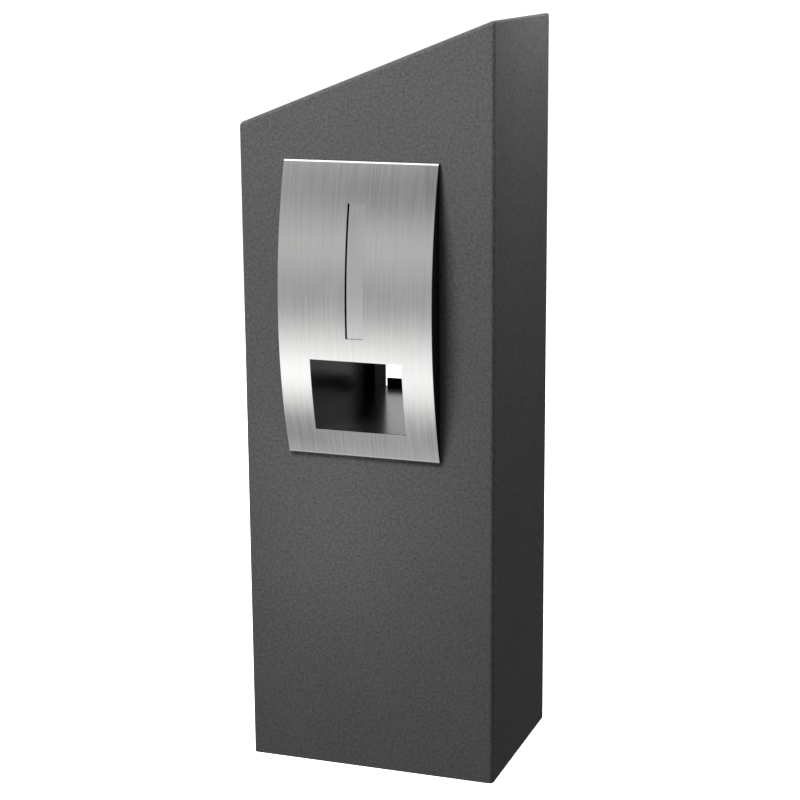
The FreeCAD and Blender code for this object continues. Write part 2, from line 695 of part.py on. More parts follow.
def make_flap():
    reach = ("2 * fascia_nose", "0")
    leaf = bow_strip("flap_radius", "flap_gauge",
                     ("box_centre - slot_width / 2 + flap_slit", "pin_x"), reach,
                     about("fascia_level", "flap_half_height"))
    pieces = [leaf]
    bores = []
    for end in (-1, 1):
        middle = f"{end} * knuckle_pitch / 2"
        low, high = about(middle, "knuckle_length / 2")
        pieces.append(pin_rod("knuckle", low, high))
        pieces.append(common(bow("flap_radius"), block(
            ("pin_x - flap_web", "pin_x"), ("2 * fascia_nose", "pin_y"),
            (f"fascia_level + {low}", f"fascia_level + {high}"))))
        bores.append(pin_rod("flap_pin + 2 * pin_clearance", f"{low} - overrun",
                             f"{high} + overrun"))
    node("slot_flap", swing(cut(fuse(*pieces), *bores)))


def make_flap_mounting():
    reach = ("2 * fascia_nose", "0")
    wide = about("pin_x", "bracket_half_width")
    seat = "bracket_seat"
    brackets = []
    for end in (-1, 1):
        face = f"{end} * ({seat})"
        plate = f"{end} * ({seat} + bracket_gauge)"
        toe = f"{end} * ({seat} + bracket_foot)"
        low, high = (plate, face) if end < 0 else (face, plate)
        ear = common(bow("inner_radius"), block(
            wide, ("2 * fascia_nose", "pin_y + bracket_half_width"),
            (f"fascia_level + {low}", f"fascia_level + {high}")))
        low, high = (toe, face) if end < 0 else (face, toe)
        foot = bow_strip("inner_radius", "bracket_gauge", wide, reach,
                         (f"fascia_level + {low}", f"fascia_level + {high}"))
        bore = pin_rod("flap_pin", f"({plate}) - 2 * bracket_gauge",
                       f"({plate}) + 2 * bracket_gauge")
        brackets.append(swing(cut(fuse(ear, foot), bore)))
    node("flap_brackets", group(brackets))
    end = f"({seat} + bracket_gauge + 2 * clip_gauge)"
    node("flap_pin", swing(pin_rod("flap_pin", f"-{end}", end)))
    clips = []
    for side in (-1, 1):
        face = f"{side} * ({seat} + bracket_gauge)"
        far = f"{side} * ({seat} + bracket_gauge + clip_gauge)"
        low, high = (far, face) if side < 0 else (face, far)
        ring = cut(pin_rod("clip_width", low, high),
                   pin_rod("flap_pin", f"({low}) - overrun", f"({high}) + overrun"))
        clips.append(swing(ring))
    node("flap_clips", group(clips))


def bow_sag(drop):
    """How far the bow's inner face has curved back, at a distance from its middle."""
    return f"(inner_radius - sqrt(inner_radius ^ 2 - ({drop}) ^ 2))"


def make_flap_spring():
    """Torsion spring below the upper knuckle. One arm bears on the fascia, one on the leaf."""
    tall = "spring_turns * spring_pitch"
    top = "knuckle_pitch / 2 - knuckle_length / 2 - spring_gap - spring_wire / 2"
    bottom = f"{top} - {tall}"
    coil = doc.addObject("Part::Helix", "coil")
    bind(coil, Pitch="spring_pitch", Height=tall, Radius="spring_coil / 2", Base_x="pin_x",
         Base_y="pin_y", Base_z=f"fascia_level + {bottom}")
    wire = doc.addObject("Part::Circle", "wire")
    wire.Placement = FreeCAD.Placement(
        FreeCAD.Vector(), FreeCAD.Rotation(FreeCAD.Vector(1, 0, 0), 90))
    bind(wire, Radius="spring_wire / 2", Base_x="pin_x + spring_coil / 2", Base_y="pin_y",
         Base_z=f"fascia_level + {bottom}")
    wound = doc.addObject("Part::Sweep", "wound")
    doc.recompute()
    wound.Sections = [wire]
    wound.Spine = (coil, [f"Edge{i + 1}" for i in range(len(coil.Shape.Edges))])
    wound.Solid = True
    wound.Frenet = True
    fixed = rod("spring_wire", f"pin_depth - {bow_sag(bottom)} - spring_play",
                ("pin_x + spring_coil / 2", "pin_y", f"fascia_level + {bottom}"), (0, -1, 0))
    free = rod("spring_wire", f"pin_depth - flap_gap - flap_gauge - {bow_sag(top)} - spring_play",
               ("pin_x - spring_coil / 2", "pin_y", f"fascia_level + {top}"), (0, -1, 0))
    node("flap_spring", swing(fuse(wound, fixed, free)))


# Rear frame, door and lock

def make_rear_frame():
    body = new_body("rear_frame")
    plate = rectangle(sketch_on(body, "XZ_Plane", "-box_rear"),
                      about("box_centre", "rear_width / 2"), ("rear_bottom", "rear_top"))
    flat = pad(body, plate, "rear_gauge", backwards=True)
    round_edges(body, flat, "rear_corner", lambda edge: runs_along(edge, (0, 1, 0)))
    paper = rectangle(sketch_on(body, "XZ_Plane"), about("box_centre", "paper_width / 2"),
                      ("floor_level", "floor_level + paper_height"))
    pocket(body, paper, None, "Symmetric")
    mail = rectangle(sketch_on(body, "XZ_Plane"), about("box_centre", "door_opening / 2"),
                     ("door_opening_bottom", "door_opening_top"))
    pocket(body, mail, None, "Symmetric")
    screws = circles(sketch_on(body, "XZ_Plane"), rear_screw_places(), "rear_screw + rear_screw_clearance")
    pocket(body, screws, None, "Symmetric")
    rivets = circles(sketch_on(body, "XZ_Plane"), hinge_rivet_places(), "rivet")
    pocket(body, rivets, None, "Symmetric")


def make_rear_fasteners():
    screws, rivet_nuts = [], []
    for x, z in rear_screw_places():
        seat = (x, "rear_outer", z)
        shank = rod("rear_screw", "rear_gauge + rivet_nut_length", seat, (0, -1, 0))
        head = taper("rear_screw_head", "rear_screw_head_top", "rear_screw_rise", seat, (0, 1, 0))
        socket = hexagon("rear_screw_socket", "rear_screw_rise",
                         (x, "rear_outer + rear_screw_socket_seat", z), (0, 1, 0))
        screws.append(cut(fuse(shank, head), socket))
        back = (x, "box_rear", z)
        sleeve = rod("rivet_nut", "rivet_nut_length", back, (0, -1, 0))
        crimp = rod("rivet_nut_head", "rivet_nut_bulge", (x, "box_rear - box_gauge", z),
                    (0, -1, 0))
        thread = rod("rear_screw", "3 * rivet_nut_length", (x, "box_rear + rear_gauge", z),
                     (0, -1, 0))
        rivet_nuts.append(cut(fuse(sleeve, crimp), thread))
    node("rear_screws", group(screws))
    node("rear_rivet_nuts", group(rivet_nuts))


def make_door():
    """Folded door pan with its lock hole."""
    body = new_body("mail_door")
    tall = ("door_bottom", "door_top")
    face = rectangle(sketch_on(body, "XZ_Plane", "-door_inner"),
                     about("box_centre", "door_half"), tall)
    slab = pad(body, face, "door_depth", backwards=True)
    outer = value("door_outer")
    round_edges(body, slab, "door_corner", lambda edge: runs_along(edge, (0, 1, 0)))
    dish = rectangle(sketch_on(body, "XZ_Plane", "-door_inner"),
                     about("box_centre", "door_half - door_gauge"),
                     ("door_bottom + door_gauge", "door_top - door_gauge"))
    hollow = pocket(body, dish, "door_depth - door_gauge")
    round_edges(body, hollow, "door_gauge", lambda edge: abs(edge.BoundBox.YMin - outer) < CLOSE
                and abs(edge.BoundBox.YMax - outer) < CLOSE)
    hole = circles(sketch_on(body, "XZ_Plane"), [("lock_x", "lock_level")],
                   "lock_barrel + lock_hole_clearance")
    pocket(body, hole, None, "Symmetric")


def make_door_seal():
    """Foam ring stuck inside the door pan, just short of the frame."""
    def ring(extra):
        return block(about("box_centre", f"door_opening / 2 + {extra}"),
                     ("rear_outer + seal_relief", "door_outer - door_gauge"),
                     (f"door_opening_bottom - ({extra})", f"door_opening_top + {extra}"))
    node("door_seal", cut(ring("seal_inset + seal_width"), ring("seal_inset")))


def hinge_levels():
    return ("door_bottom + hinge_inset", "door_top - hinge_inset")


def hinge_rivet_places():
    return [("hinge_x + hinge_rivet_reach", f"{level} + {end} * hinge_rivet_spread")
            for level in hinge_levels() for end in (-1, 1)]


def make_hinges():
    frame_leaves, door_leaves, pins, rivets = [], [], [], []
    for x, z in hinge_rivet_places():
        seat = (x, "rear_outer + hinge_gauge", z)
        rivets.append(fuse(rod("rivet", "rear_gauge + hinge_gauge", seat, (0, -1, 0)),
                           rivet_cap(seat, (0, 1, 0))))
    for level in hinge_levels():
        def sleeve(low, high, bore, level=level):
            start = ("hinge_x", "hinge_y", f"{level} + {low}")
            outer = rod("hinge_barrel", f"({high}) - ({low})", start)
            return outer, rod(bore, f"({high}) - ({low})", start)
        barrels, bores = [], []
        for low, high in (("-hinge_half", "-hinge_mid_knuckle / 2 - hinge_gap"),
                          ("hinge_mid_knuckle / 2 + hinge_gap", "hinge_half")):
            outer, inner = sleeve(low, high, "hinge_pin")
            tab = block(("hinge_x", "hinge_x + hinge_leaf"),
                        ("rear_outer", "rear_outer + hinge_gauge"),
                        (f"{level} + {low}", f"{level} + {high}"))
            barrels += [outer, tab]
            bores.append(inner)
        strap = block(("hinge_x + hinge_barrel / 2 + hinge_gap", "hinge_x + hinge_leaf"),
                      ("rear_outer", "rear_outer + hinge_gauge"), about(level, "hinge_half"))
        bores += [rod("rivet", "4 * hinge_gauge", (x, "rear_outer - hinge_gauge", z), (0, 1, 0))
                  for x, z in hinge_rivet_places() if level in z]
        frame_leaves.append(cut(fuse(*barrels, strap), *bores))
        outer, inner = sleeve("-hinge_mid_knuckle / 2", "hinge_mid_knuckle / 2",
                              "hinge_pin + 2 * pin_clearance")
        edge = "box_centre + door_half"
        web = block((edge, "hinge_x"), about("hinge_y", "hinge_gauge / 2"),
                    about(level, "hinge_mid_knuckle / 2"))
        cheek = block((edge, f"{edge} + hinge_gauge"),
                      ("door_inner + cheek_gap", "door_outer - door_gauge"),
                      about(level, "hinge_mid_knuckle / 2"))
        door_leaves.append(cut(fuse(outer, web, cheek), inner))
        shank = rod("hinge_pin", "2 * hinge_half", ("hinge_x", "hinge_y", f"{level} - hinge_half"))
        cap = taper("hinge_pin_head", "hinge_pin_head_top", "hinge_pin_head_rise",
                    ("hinge_x", "hinge_y", f"{level} + hinge_half"))
        pins.append(fuse(shank, cap))
    node("hinge_frame_leaves", group(frame_leaves))
    node("hinge_door_leaves", group(door_leaves))
    node("hinge_pins", group(pins))
    node("hinge_rivets", group(rivets))


def make_lock():
    def at(y):
        return ("lock_x", y, "lock_level")
    inward = (0, -1, 0)
    barrel = fuse(rod("lock_barrel", "lock_length", at("door_outer"), inward),
                  taper("lock_bezel", "lock_bezel_top", "lock_bezel_rise", at("door_outer"),
                        (0, 1, 0)))
    bore = rod("lock_plug + 2 * lock_plug_clearance", "3 * lock_length",
               at("door_outer + lock_length"), inward)
    node("lock_barrel", cut(barrel, bore))
    nut = hexagon("lock_nut_width", "lock_nut_height", at("door_outer - door_gauge"), inward)
    hole = rod("lock_barrel", "3 * lock_nut_height", at("door_outer"), inward)
    node("lock_nut", cut(nut, hole))
    front = "door_outer + lock_bezel_rise + lock_plug_rise"
    plug = rod("lock_plug", f"{front} - (lock_end)", at(front), inward)
    keyway = block(about("lock_x", "keyway_width / 2"),
                   (f"{front} - keyway_depth", f"{front} + keyway_depth"),
                   about("lock_level", "keyway_length / 2"))
    thread = rod("cam_screw", "cam_gauge + cam_thread_depth", at("cam_y"), (0, 1, 0))
    node("lock_plug", cut(plug, keyway, thread))
    hub = rod("cam_width", "cam_gauge", at("lock_end"), inward)
    arm = block(about("lock_x", "cam_width / 2"), ("cam_y", "lock_end"),
                ("lock_level - cam_length", "lock_level"))
    hole = rod("cam_screw", "3 * cam_gauge", at("lock_end + cam_gauge"), inward)
    node("lock_cam", cut(fuse(hub, arm), hole))
    shank = rod("cam_screw", "cam_gauge + cam_screw_reach", at("cam_y"), (0, 1, 0))
    head = taper("cam_screw_head", "cam_screw_head_top", "cam_screw_rise", at("cam_y"), inward)
    node("lock_screw", fuse(shank, head))


def fill_sheet():
    for row, (alias, number) in enumerate(SIZES.items(), start=1):
        sheet.set(f"A{row}", alias.replace("_", " "))
        sheet.set(f"B{row}", str(number))
        sheet.setAlias(f"B{row}", alias)
    doc.recompute()


def write_parts():
    doc.recompute()
    for item in doc.Objects:
        if {"Invalid", "Error"} & set(item.State):
            raise RuntimeError(f"{item.Label} failed: {item.State}")
    os.makedirs("parts", exist_ok=True)
    for old in os.listdir("parts"):
        os.remove(os.path.join("parts", old))
    for name, item in NODES.items():
        shape = item.Shape
        if shape.isNull() or not shape.isValid() or not shape.Solids:
            raise RuntimeError(f"{name} has no valid solid")
        shape.exportStep(os.path.join("parts", name + ".step"))
        print(f"{name}: {len(shape.Solids)} solid(s), {shape.Volume / 1000:.1f} cm3")


def main():
    fill_sheet()
    make_pillar()
    make_base_angle("base_angle_left", -1)
    make_base_angle("base_angle_right", 1)
    make_base_fasteners()
    make_box_side("box_side_left", -1)
    make_box_side("box_side_right", 1)
    make_box_top()
    make_shelf_and_floor()
    make_box_rivets()
    make_gaskets()
    make_fascia()
    make_fascia_frame()
    make_fascia_fasteners()
    make_flap()
    make_flap_mounting()
    make_flap_spring()
    make_rear_frame()
    make_rear_fasteners()
    make_door()
    make_door_seal()
    make_hinges()
    make_lock()
    write_parts()


main()
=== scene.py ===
import bpy
import json
from math import radians, asin, sqrt, cos, sin, pi
from mathutils import Matrix, Vector


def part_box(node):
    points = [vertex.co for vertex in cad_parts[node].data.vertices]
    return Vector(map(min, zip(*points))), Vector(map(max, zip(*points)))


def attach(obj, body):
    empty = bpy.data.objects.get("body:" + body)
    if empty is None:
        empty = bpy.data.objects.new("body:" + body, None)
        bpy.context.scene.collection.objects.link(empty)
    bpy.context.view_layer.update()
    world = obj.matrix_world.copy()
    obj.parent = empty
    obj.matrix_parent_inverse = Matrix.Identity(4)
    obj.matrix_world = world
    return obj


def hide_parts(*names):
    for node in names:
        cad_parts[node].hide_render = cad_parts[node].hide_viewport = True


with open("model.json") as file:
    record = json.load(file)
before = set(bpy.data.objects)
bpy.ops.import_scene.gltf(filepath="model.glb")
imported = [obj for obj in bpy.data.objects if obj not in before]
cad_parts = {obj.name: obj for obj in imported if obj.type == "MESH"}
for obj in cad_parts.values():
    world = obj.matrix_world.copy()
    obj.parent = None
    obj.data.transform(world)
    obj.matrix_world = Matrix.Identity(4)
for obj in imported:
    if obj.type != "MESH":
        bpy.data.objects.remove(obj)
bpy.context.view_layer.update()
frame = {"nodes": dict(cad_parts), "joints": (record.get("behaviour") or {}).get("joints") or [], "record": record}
scene = bpy.context.scene
scene.view_settings.view_transform = "Standard"
print("frame loaded")

hair = 0.00001       # two points this close are taken as one
past = 0.1           # how far a cutter stands past what it cuts
roundUnder = 35      # degrees between faces that are shaded as one curve
sharpOver = 50       # degrees between faces whose edge gets a small bevel
largeFaces = 80      # how strongly the larger faces set the shading
squarely = 0.9       # how straight along an axis a face looks when it is picked


def pick(kind, test):  # selects points, edges or faces of the edited object by their place
    bpy.ops.mesh.select_mode(type=kind)
    bpy.ops.mesh.select_all(action="DESELECT")
    bpy.ops.object.mode_set(mode="OBJECT")
    mesh = bpy.context.object.data
    if kind == "VERT":
        for point in mesh.vertices:
            point.select = test(point.co)
    elif kind == "EDGE":
        for edge in mesh.edges:
            edge.select = test(*[mesh.vertices[i].co for i in edge.vertices])
    else:
        for face in mesh.polygons:
            face.select = test(face.center, face.normal)
    bpy.ops.object.mode_set(mode="EDIT")


def startPiece(name, add, **settings):  # adds a primitive and leaves it alone in edit mode
    bpy.ops.object.select_all(action="DESELECT")
    add(**settings)
    piece = bpy.context.object
    piece.name = name
    piece.data.name = name
    bpy.ops.object.transform_apply(location=True, rotation=True, scale=True)
    bpy.ops.object.mode_set(mode="EDIT")
    return piece


def startBox(name, low, high):
    middle = [(a + b) / 2 for a, b in zip(low, high)]
    spans = [b - a for a, b in zip(low, high)]
    return startPiece(name, bpy.ops.mesh.primitive_cube_add, size=1, location=middle, scale=spans)


def leaveEdit():
    bpy.ops.object.mode_set(mode="OBJECT")


def useOnly(piece):
    bpy.ops.object.select_all(action="DESELECT")
    piece.select_set(True)
    bpy.context.view_layer.objects.active = piece


def finishWith(piece, kind, **settings):  # adds one modifier and applies it
    useOnly(piece)
    step = piece.modifiers.new(kind.lower(), kind)
    for key, value in settings.items():
        setattr(step, key, value)
    bpy.ops.object.modifier_apply(modifier=step.name)


def softenEdges(piece, width):
    finishWith(piece, "BEVEL", width=width, segments=2, limit_method="ANGLE",
               angle_limit=radians(sharpOver))


def takeAway(piece, cutter):
    leaveEdit()
    finishWith(piece, "BOOLEAN", operation="DIFFERENCE", solver="EXACT", object=cutter)
    bpy.data.objects.remove(cutter)


def cutWith(piece, low, high):  # takes a box out of a piece
    takeAway(piece, startBox("cutter", low, high))


def cutRound(piece, place, axis, radius, length, sides=48):  # a drill, or with 6 sides a broach
    cutter = startPiece("cutter", bpy.ops.mesh.primitive_cylinder_add, vertices=sides,
                        radius=radius, depth=length, location=place, rotation=facing(axis))
    takeAway(piece, cutter)


def facing(axis):
    return Vector((0, 0, 1)).rotation_difference(Vector(axis)).to_euler()


def turnPiece(name, place, axis, rings, sides=40, closed=False):
    # a ring of points at a radius and a distance along the axis, extruded and scaled to the next
    place, axis = Vector(place), Vector(axis).normalized()
    radius, reached = rings[0]
    piece = startPiece(name, bpy.ops.mesh.primitive_circle_add, vertices=sides, radius=radius,
                       location=place + axis * reached, rotation=facing(axis))
    for nextRadius, along in rings[1:]:
        bpy.ops.mesh.extrude_region_move(
            TRANSFORM_OT_translate={"value": axis * (along - reached)})
        bpy.ops.transform.resize(value=(nextRadius / radius,) * 3,
                                 center_override=place + axis * along)
        radius, reached = nextRadius, along
    bpy.ops.mesh.select_all(action="SELECT")
    if closed:
        bpy.ops.mesh.remove_doubles(threshold=hair / 10)
    else:
        bpy.ops.mesh.fill_holes(sides=0)
        bpy.ops.mesh.select_all(action="SELECT")
    bpy.ops.mesh.normals_make_consistent(inside=False)
    leaveEdit()
    return piece


def joinPieces(first, *others):
    useOnly(first)
    for other in others:
        other.select_set(True)
    bpy.ops.object.join()


def copyPiece(piece, name, move):  # a copy with a mesh of its own, moved by a matrix
    twin = piece.copy()
    twin.data = piece.data.copy()
    twin.name = name
    twin.data.name = name
    twin.data.transform(move)
    scene.collection.objects.link(twin)
    return twin


def settle(piece, finish, slotName, body, *nodes):  # shading, finish and place in the part
    useOnly(piece)
    bpy.ops.object.shade_smooth_by_angle(angle=radians(roundUnder))
    finishWith(piece, "WEIGHTED_NORMAL", keep_sharp=True, weight=largeFaces)
    piece.data.materials.clear()
    piece.data.materials.append(finish)
    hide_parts(*nodes)
    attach(piece, body)


def near(a, b, gap=0.0004):  # metres
    return abs(a - b) < gap


class Nodes:  # builds a node tree with short lines
    def __init__(self, tree):
        self.tree = tree

    def add(self, kind, inputs=None, **settings):
        node = self.tree.nodes.new(kind)
        for key, value in settings.items():
            setattr(node, key, value)
        for key, value in (inputs or {}).items():
            if isinstance(value, bpy.types.NodeSocket):
                self.tree.links.new(value, node.inputs[key])
            else:
                node.inputs[key].default_value = value
        return node

    def math(self, operation, a, b=0.0, clamp=False):
        inputs = {0: a, 1: b}
        return self.add("ShaderNodeMath", inputs, operation=operation, use_clamp=clamp).outputs[0]

    def noise(self, vector, scale, detail=2.0, rough=0.5):
        inputs = {"Vector": vector, "Scale": scale, "Detail": detail, "Roughness": rough}
        return self.add("ShaderNodeTexNoise", inputs).outputs["Fac"]

    def stretch(self, vector, scale):
        return self.add("ShaderNodeMapping", {"Vector": vector, "Scale": scale}).outputs[0]

    def spread(self, value, low, high, toLow=0.0, toHigh=1.0):
        inputs = {"Value": value, "From Min": low, "From Max": high,
                  "To Min": toLow, "To Max": toHigh}
        return self.add("ShaderNodeMapRange", inputs).outputs[0]

    def blend(self, factor, a, b, mode="MIX"):
        node = self.add("ShaderNodeMix", {0: factor, 6: a, 7: b}, data_type="RGBA",
                        blend_type=mode)
        return node.outputs[2]


def newGroup(name, inputs, outputs):
    tree = bpy.data.node_groups.new(name, "ShaderNodeTree")
    kinds = {"value": "NodeSocketFloat", "colour": "NodeSocketColor", "vector": "NodeSocketVector"}
    for label, kind, start in inputs:
        socket = tree.interface.new_socket(name=label, in_out="INPUT", socket_type=kinds[kind])
        socket.default_value = start
    for label, kind in outputs:
        tree.interface.new_socket(name=label, in_out="OUTPUT", socket_type=kinds[kind])
    build = Nodes(tree)
    return build, build.add("NodeGroupInput").outputs, build.add("NodeGroupOutput").inputs


noiseSpan = (0.3, 0.7)  # most of a noise lies between these

brush = {"fineAlong": (1, 0.02, 0.02), "wideAlong": (1, 0.05, 0.04), "widePitch": 110,
         "fineShare": 0.7, "cloudPitch": 7, "shade": (0.93, 1.05), "cloudShade": (0.97, 1.02),
         "drift": (-0.015, 0.025), "cloudSpan": (0.35, 0.65), "cloudDrift": (-0.02, 0.02)}


def makeBrushGroup():  # long thin scratches along Z, with a slow drift between bright and dull
    build, given, out = newGroup("brushLines", [
        ("Colour", "colour", (0.6, 0.6, 0.6, 1)), ("Depth", "value", 0.5),
        ("Roughness", "value", 0.3), ("Pitch", "value", 900.0)],
        [("Colour", "colour"), ("Roughness", "value"), ("Height", "value")])
    place = build.add("ShaderNodeTexCoord").outputs["Object"]
    fine = build.noise(build.stretch(place, brush["fineAlong"]), given["Pitch"], 1, 0.5)
    wide = build.noise(build.stretch(place, brush["wideAlong"]), brush["widePitch"], 2, 0.6)
    cloud = build.noise(place, brush["cloudPitch"], 3, 0.55)
    lines = build.math("ADD", build.math("MULTIPLY", fine, brush["fineShare"]),
                       build.math("MULTIPLY", wide, 1 - brush["fineShare"]))
    shade = build.spread(lines, *noiseSpan, *brush["shade"])
    tone = build.math("MULTIPLY", shade, build.spread(cloud, *noiseSpan, *brush["cloudShade"]))
    grey = build.add("ShaderNodeCombineColor", {0: tone, 1: tone, 2: tone}).outputs[0]
    tree = build.tree
    tree.links.new(build.blend(1.0, given["Colour"], grey, "MULTIPLY"), out["Colour"])
    drift = build.spread(lines, *noiseSpan, *brush["drift"])
    rough = build.math("ADD", given["Roughness"], build.math("MULTIPLY", drift, given["Depth"]))
    rough = build.math("ADD", rough, build.spread(cloud, *brush["cloudSpan"],
                                                  *brush["cloudDrift"]))
    tree.links.new(rough, out["Roughness"])
    tree.links.new(build.math("MULTIPLY", lines, given["Depth"]), out["Height"])
    return tree


speckle = {"coarser": 0.37, "fineShare": 0.6, "span": (0.32, 0.68), "patchShade": (0.95, 1.05),
           "patchRough": (-0.05, 0.05)}


def makeSpeckleGroup():  # grains of two sizes, for cast render, rubber, nylon and zinc
    build, given, out = newGroup("fineSpeckle", [
        ("Colour", "colour", (0.1, 0.1, 0.1, 1)), ("Grain", "value", 900.0),
        ("Contrast", "value", 0.3), ("Patch", "value", 6.0)],
        [("Colour", "colour"), ("Roughness", "value"), ("Height", "value")])
    place = build.add("ShaderNodeTexCoord").outputs["Object"]
    grain = build.noise(place, given["Grain"], 4, 0.65)
    bigger = build.math("MULTIPLY", given["Grain"], speckle["coarser"])
    coarse = build.noise(place, bigger, 2, 0.5)
    patch = build.noise(place, given["Patch"], 4, 0.6)
    mixed = build.math("ADD", build.math("MULTIPLY", grain, speckle["fineShare"]),
                       build.math("MULTIPLY", coarse, 1 - speckle["fineShare"]))
    signed = build.spread(mixed, *speckle["span"], -1.0, 1.0)
    tone = build.math("ADD", 1.0, build.math("MULTIPLY", signed, given["Contrast"]))
    tone = build.math("MULTIPLY", tone, build.spread(patch, *noiseSpan, *speckle["patchShade"]))
    grey = build.add("ShaderNodeCombineColor", {0: tone, 1: tone, 2: tone}).outputs[0]
    tree = build.tree
    tree.links.new(build.blend(1.0, given["Colour"], grey, "MULTIPLY"), out["Colour"])
    tree.links.new(build.spread(patch, *noiseSpan, *speckle["patchRough"]), out["Roughness"])
    tree.links.new(mixed, out["Height"])
    return tree


dust = {"finePitch": 260, "fineSpan": (0.35, 0.75), "broadPitch": 14, "broadSpan": (0.3, 0.8),
        "lyingFrom": 0.2, "everywhere": 0.12, "dulls": 0.6}


def makeDustGroup():  # a thin film of dust that settles on faces that look up
    build, given, out = newGroup("dustFilm", [
        ("Colour", "colour", (0.02, 0.02, 0.02, 1)), ("Dust", "colour", (0.3, 0.29, 0.27, 1)),
        ("Amount", "value", 0.1), ("Roughness", "value", 0.2)],
        [("Colour", "colour"), ("Roughness", "value")])
    place = build.add("ShaderNodeTexCoord").outputs["Object"]
    outward = build.add("ShaderNodeNewGeometry").outputs["Normal"]
    up = build.add("ShaderNodeSeparateXYZ", {0: outward}).outputs[2]
    fine = build.noise(place, dust["finePitch"], 5, 0.7)
    broad = build.noise(place, dust["broadPitch"], 3, 0.6)
    patchy = build.math("MULTIPLY", build.spread(fine, *dust["fineSpan"]),
                        build.spread(broad, *dust["broadSpan"]))
    lying = build.math("ADD", build.spread(up, dust["lyingFrom"], 1.0), dust["everywhere"])
    mask = build.math("MULTIPLY", build.math("MULTIPLY", patchy, lying), given["Amount"], True)
    tree = build.tree
    tree.links.new(build.blend(mask, given["Colour"], given["Dust"]), out["Colour"])
    rough = build.math("ADD", given["Roughness"], build.math("MULTIPLY", mask, dust["dulls"]))
    tree.links.new(rough, out["Roughness"])
    return tree


brushLines = makeBrushGroup()
fineSpeckle = makeSpeckleGroup()
dustFilm = makeDustGroup()


def newFinish(name, metallic=0.0, **constants):
    material = bpy.data.materials.new(name)
    material.use_nodes = True
    build = Nodes(material.node_tree)
    shader = material.node_tree.nodes["Principled BSDF"]
    shader.inputs["Metallic"].default_value = metallic
    for key, value in constants.items():
        shader.inputs[key.replace("_", " ")].default_value = value
    return material, build, shader


def useGroup(build, group, inputs):
    return build.add("ShaderNodeGroup", inputs, node_tree=group).outputs


def plug(build, shader, colour, rough, height, depth):
    build.tree.links.new(colour, shader.inputs["Base Color"])
    build.tree.links.new(rough, shader.inputs["Roughness"])
    bump = build.add("ShaderNodeBump", {"Height": height, "Distance": depth, "Strength": 1.0})
    build.tree.links.new(bump.outputs[0], shader.inputs["Normal"])


renderLook = {"colour": (0.0615, 0.0615, 0.0615, 1), "rough": 0.92, "shine": 0.12, "grain": 540.0,
              "contrast": 0.42, "patch": 5.0, "depth": 0.0005}


def makeRenderFinish():
    look = renderLook
    material, build, shader = newFinish("sandedRender", Specular_IOR_Level=look["shine"])
    grains = useGroup(build, fineSpeckle, {"Colour": look["colour"], "Grain": look["grain"],
                                           "Contrast": look["contrast"], "Patch": look["patch"]})
    rough = build.math("ADD", look["rough"], grains["Roughness"])
    plug(build, shader, grains["Colour"], rough, grains["Height"], look["depth"])
    return material


steelLook = {"colour": (0.66, 0.658, 0.652, 1), "rough": 0.22, "pitch": 430.0, "depth": 0.000008,
             "flapRough": 0.3, "doorRough": 0.24}


def makeSteelFinish(name="brushedSteel", rough=steelLook["rough"], pitch=steelLook["pitch"],
                    colour=steelLook["colour"], depth=steelLook["depth"]):
    material, build, shader = newFinish(name, 1.0)
    lines = useGroup(build, brushLines, {"Colour": colour, "Depth": 1.0, "Roughness": rough,
                                         "Pitch": pitch})
    plug(build, shader, lines["Colour"], lines["Roughness"], lines["Height"], depth)
    return material


blackLook = {"colour": (0.008, 0.008, 0.009, 1), "dust": (0.22, 0.21, 0.2, 1), "amount": 0.05,
             "gloss": 0.2, "glossShine": 0.5, "satin": 0.26, "satinShine": 0.14,
             "peel": 420.0, "depth": 0.00004}


def makeBlackFinish(name, rough, shine):
    look = blackLook
    material, build, shader = newFinish(name, Specular_IOR_Level=shine)
    film = useGroup(build, dustFilm, {"Colour": look["colour"], "Dust": look["dust"],
                                      "Amount": look["amount"], "Roughness": rough})
    place = build.add("ShaderNodeTexCoord").outputs["Object"]
    peel = build.noise(place, look["peel"], 2, 0.4)
    plug(build, shader, film["Colour"], film["Roughness"], peel, look["depth"])
    return material


def makeGrainFinish(name, colour, rough, grain, contrast, depth, metallic=0.0, patch=30.0):
    material, build, shader = newFinish(name, metallic)
    grains = useGroup(build, fineSpeckle, {"Colour": colour, "Grain": grain,
                                           "Contrast": contrast, "Patch": patch})
    plug(build, shader, grains["Colour"], build.math("ADD", rough, grains["Roughness"]),
         grains["Height"], depth)
    return material


zincLook = {"crystals": 95.0, "greys": (0.34, 0.6), "blue": 1.03, "rough": (0.38, 0.55),
            "wobble": (-0.05, 0.05), "pitch": 60, "depth": 0.0002}


def makeGalvanisedFinish():  # zinc crystals about a centimetre across
    look = zincLook
    material, build, shader = newFinish("galvanised", 1.0)
    place = build.add("ShaderNodeTexCoord").outputs["Object"]
    wobble = build.noise(place, look["pitch"], 2, 0.5)
    crystal = build.add("ShaderNodeTexVoronoi", {"Vector": place, "Scale": look["crystals"]})
    tone = build.add("ShaderNodeSeparateColor", {0: crystal.outputs["Color"]}).outputs[0]
    grey = build.spread(tone, 0.0, 1.0, *look["greys"])
    blue = build.math("MULTIPLY", grey, look["blue"])
    colour = build.add("ShaderNodeCombineColor", {0: grey, 1: grey, 2: blue})
    rough = build.math("ADD", build.spread(tone, 0, 1, *look["rough"]),
                       build.spread(wobble, *noiseSpan, *look["wobble"]))
    plug(build, shader, colour.outputs[0], rough, wobble, look["depth"])
    return material


